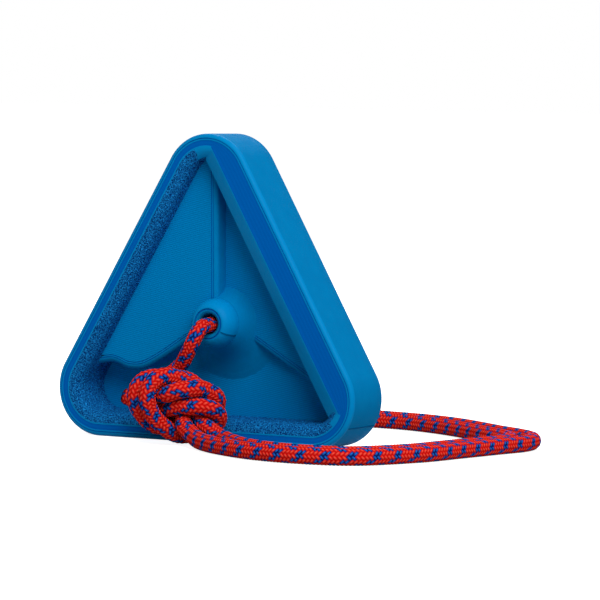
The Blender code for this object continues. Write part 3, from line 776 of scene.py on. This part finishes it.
points = np.vstack([patch[0] for patch in patches])
faces = [face for patch in patches for face in patch[1]]
kinds = [kind for patch in patches for kind in patch[2]]
inset = np.concatenate([patch[3] for patch in patches])
block = make_piece("block_print", points, faces, (("inset", inset),))
block.data.polygons.foreach_set("material_index", np.array(kinds, np.int32))
is_flat = np.isin(kinds, (BAND, HATCH))
block.data.polygons.foreach_set("use_smooth", ~is_flat)
# Points that meet are joined, which closes the seams between patches, and edges past an angle stay crisp.
WELD = 0.001 * MM
CRISP = math.radians(32)
welded = bmesh.new()
welded.from_mesh(block.data)
bmesh.ops.remove_doubles(welded, verts=welded.verts, dist=WELD)
welded.to_mesh(block.data)
welded.free()
block.data.set_sharp_from_angle(angle=CRISP)
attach(block, "block")
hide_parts("block_body")


# Printed rows on the grounds rise to the right by this angle.
HATCH_RISE = math.radians(15.7)


def lines(tree, place, axis, period):
    """Even lines across one axis, that many millimetres apart, from 0 to 1. HATCH tilts level lines, and RIM draws
    them along the rim."""
    scale = math.pi / 10 / (period * MM)
    if axis == "HATCH":
        turned = add(tree, "VectorRotate", {"Vector": place, "Angle": HATCH_RISE}, rotation_type="Y_AXIS")
        place = turned.outputs["Vector"]
    if axis == "RIM":
        inset = add(tree, "Attribute", attribute_name="inset").outputs["Fac"]
        place = add(tree, "CombineXYZ", {"X": inset}).outputs["Vector"]
    axis = {"HATCH": "Z", "RIM": "X"}.get(axis, axis)
    made = add(tree, "TexWave", {"Vector": place, "Scale": scale, "Distortion": 0.0}, bands_direction=axis)
    return made.outputs["Fac"]


def plastic(name, dark, light, mottle, axis, period, height, roughness, gloss, grain=0.6, grain_height=0.03):
    """Printed plastic: a blue mottled by cloud, line or grain, with fine ridges of the printed lines and a grain. The
    cloud is the plastic's own uneven tone; the line mottle is painted light and shade along the printed rows, and the
    grain mottle painted shade in the pits and a painted highlight on the peaks.
    """
    made, tree = new_material(name)
    place = add(tree, "TexCoord").outputs["Object"]
    cloud = add(tree, "TexNoise", {"Vector": place, "Scale": 1 / (6 * MM), "Detail": 3.0}).outputs["Fac"]
    fine = add(tree, "TexNoise", {"Vector": place, "Scale": 1 / (grain * MM), "Detail": 2.0}).outputs["Fac"]
    speckle = add(tree, "MapRange", {"Value": fine, "From Min": 0.34, "From Max": 0.66}).outputs["Result"]
    ridge = lines(tree, place, axis, period)
    factor = {"cloud": cloud, "line": ridge, "grain": speckle}[mottle]
    colour = add(tree, "MixRGB", {"Fac": factor, "Color1": linear(dark), "Color2": linear(light)})
    rough = add(tree, "Bump", {"Height": speckle, "Distance": grain_height * MM, "Strength": 1.0})
    relief = {"Height": ridge, "Distance": height * MM, "Strength": 1.0, "Normal": rough.outputs["Normal"]}
    bump = add(tree, "Bump", relief)
    shader = add(
        tree,
        "BsdfPrincipled",
        {
            "Base Color": colour.outputs["Color"],
            "Roughness": roughness,
            "Specular IOR Level": gloss,
            "Normal": bump.outputs["Normal"],
        },
    )
    add(tree, "OutputMaterial", {"Surface": shader.outputs["BSDF"]})
    return made


# PLA walls, printed in layers: smooth and a little glossy, with faint lines round the block. Layers of 0.2 mm
# are drawn 0.8 mm apart, as they show in the photograph.
walls = plastic("pla_walls_printed", "#0075B2", "#0081BD", "cloud", "Y", 0.8, 0.03, 0.5, 0.004)
# PLA top infill, printed in rows: the band on the rim, painted darker than the walls as shade, with faint lines along
# it of painted light and shade. Lines of 0.45 mm are drawn 1.5 mm apart.
infill = plastic("pla_rim_infill_painted_shade", "#005DB2", "#0061B7", "line", "RIM", 1.5, 0.015, 0.5, 0.004)
# PLA with a rough printed skin: pitted and dull, about 0.5 mm across, with painted shade in the pits and a painted
# highlight on the peaks.
skin = plastic("pla_rough_skin_painted_shade_and_highlight", "#002C70", "#1A8EDC", "grain", "Y", 0.5, 0.03, 0.6, 0.02, 0.55, 0.45)
# PLA grounds, printed in rows: slanting hatching that breaks the light up, drawn as stripes of painted light and
# shade.
# Lines of 0.45 mm are drawn 0.83 mm apart.
grounds = plastic("pla_ground_hatch_painted_light_and_shade", "#0074B6", "#0087C8", "line", "HATCH", 0.83, 0.045, 0.5, 0.004)
# PLA beads, that is single printed lines, the rounded rim, the right lip and the nose: smoother, with a soft shine
# and fainter layers, drawn as on the walls, and painted brighter than the walls as a highlight.
beads = plastic("pla_bead_painted_highlight", "#0080C0", "#0089C9", "cloud", "Y", 0.8, 0.02, 0.35, 0.025)
# PLA where each layer starts and ends: dull, and painted darker than the wall beside it as shade along the seam.
seam_shade = plastic("pla_seam_painted_shade", "#00507F", "#005A8C", "cloud", "Y", 0.8, 0.0, 0.6, 0.004)
for made in (walls, infill, skin, grounds, beads, seam_shade):
    block.data.materials.append(made)

# The studio: a white surround, a broad soft lamp from the upper right, a weak one from behind, and a white floor
# that takes the shadow.
scene = bpy.context.scene
scene.view_settings.view_transform = "Standard"


def seen_directly(tree):
    """1 for a ray from the camera, or one mirrored or let through, and 0 for a ray that lights a surface."""
    path = add(tree, "LightPath")
    kinds = ("Is Camera Ray", "Is Glossy Ray", "Is Transmission Ray")
    from_camera, mirrored, let_through = (path.outputs[kind] for kind in kinds)
    either = add(tree, "Math", {0: from_camera, 1: mirrored}, operation="MAXIMUM").outputs[0]
    return add(tree, "Math", {0: either, 1: let_through}, operation="MAXIMUM").outputs[0]


# The surround's strength on the object, and as it is seen, where 1 is white.
SURROUND = 0.175
SEEN_WHITE = 1.0
world = bpy.data.worlds.new("studio")
world.use_nodes = True
world.node_tree.nodes.clear()
tree = world.node_tree
lighting = add(tree, "Background", {"Color": linear("#FFFFFF"), "Strength": SURROUND})
backdrop = add(tree, "Background", {"Color": linear("#FFFFFF"), "Strength": SEEN_WHITE})
mixed = add(tree, "MixShader", {0: seen_directly(tree), 1: lighting.outputs[0], 2: backdrop.outputs[0]})
add(tree, "OutputWorld", {"Surface": mixed.outputs[0]})
scene.world = world

FLOOR_CORNERS = [(-30, -20, -1e-4), (30, -20, -1e-4), (30, 40, -1e-4), (-30, 40, -1e-4)]
floor_mesh = bpy.data.meshes.new("studio_floor")
floor_mesh.from_pydata(FLOOR_CORNERS, [], [(0, 1, 2, 3)])
floor = bpy.data.objects.new("studio_floor", floor_mesh)
scene.collection.objects.link(floor)
# Matt studio paper, coated white: it shows as white with a faint shadow, and throws back about half of the light.
FLOOR_GLOW = 0.9
paper, tree = new_material("white_studio_paper")
matt = add(tree, "BsdfDiffuse", {"Color": linear("#EDEDED")})
dull = add(tree, "BsdfDiffuse", {"Color": linear("#BFBFBF")})
glow = add(tree, "Emission", {"Color": linear("#FFFFFF"), "Strength": FLOOR_GLOW})
lit = add(tree, "AddShader", {0: matt.outputs[0], 1: glow.outputs[0]})
both = add(tree, "MixShader", {0: seen_directly(tree), 1: dull.outputs[0], 2: lit.outputs[0]})
add(tree, "OutputMaterial", {"Surface": both.outputs[0]})
floor_mesh.materials.append(paper)

LAMP_WIDTH = 1.1
LOOK_AT = np.array((0.0, 0.0, 0.06))


def softbox(name, stand, energy):
    """A square lamp that stands at a place, in metres, and looks at the block."""
    data = bpy.data.lights.new(name, "AREA")
    data.shape = "RECTANGLE"
    data.size = LAMP_WIDTH
    data.size_y = LAMP_WIDTH
    data.energy = energy
    lamp = bpy.data.objects.new(name, data)
    stand = np.array(stand)
    look = LOOK_AT - stand
    look /= np.linalg.norm(look)
    flat = np.cross(look, (0, 0, 1))
    flat /= np.linalg.norm(flat)
    turn = Matrix((flat, np.cross(flat, look), -look)).transposed().to_4x4()
    lamp.matrix_world = Matrix.Translation(stand) @ turn
    scene.collection.objects.link(lamp)


softbox("key_softbox", (0.8, -0.8, 1.15), 24.6)
softbox("back_softbox", (-0.35, 1.0, 1.05), 10.0)
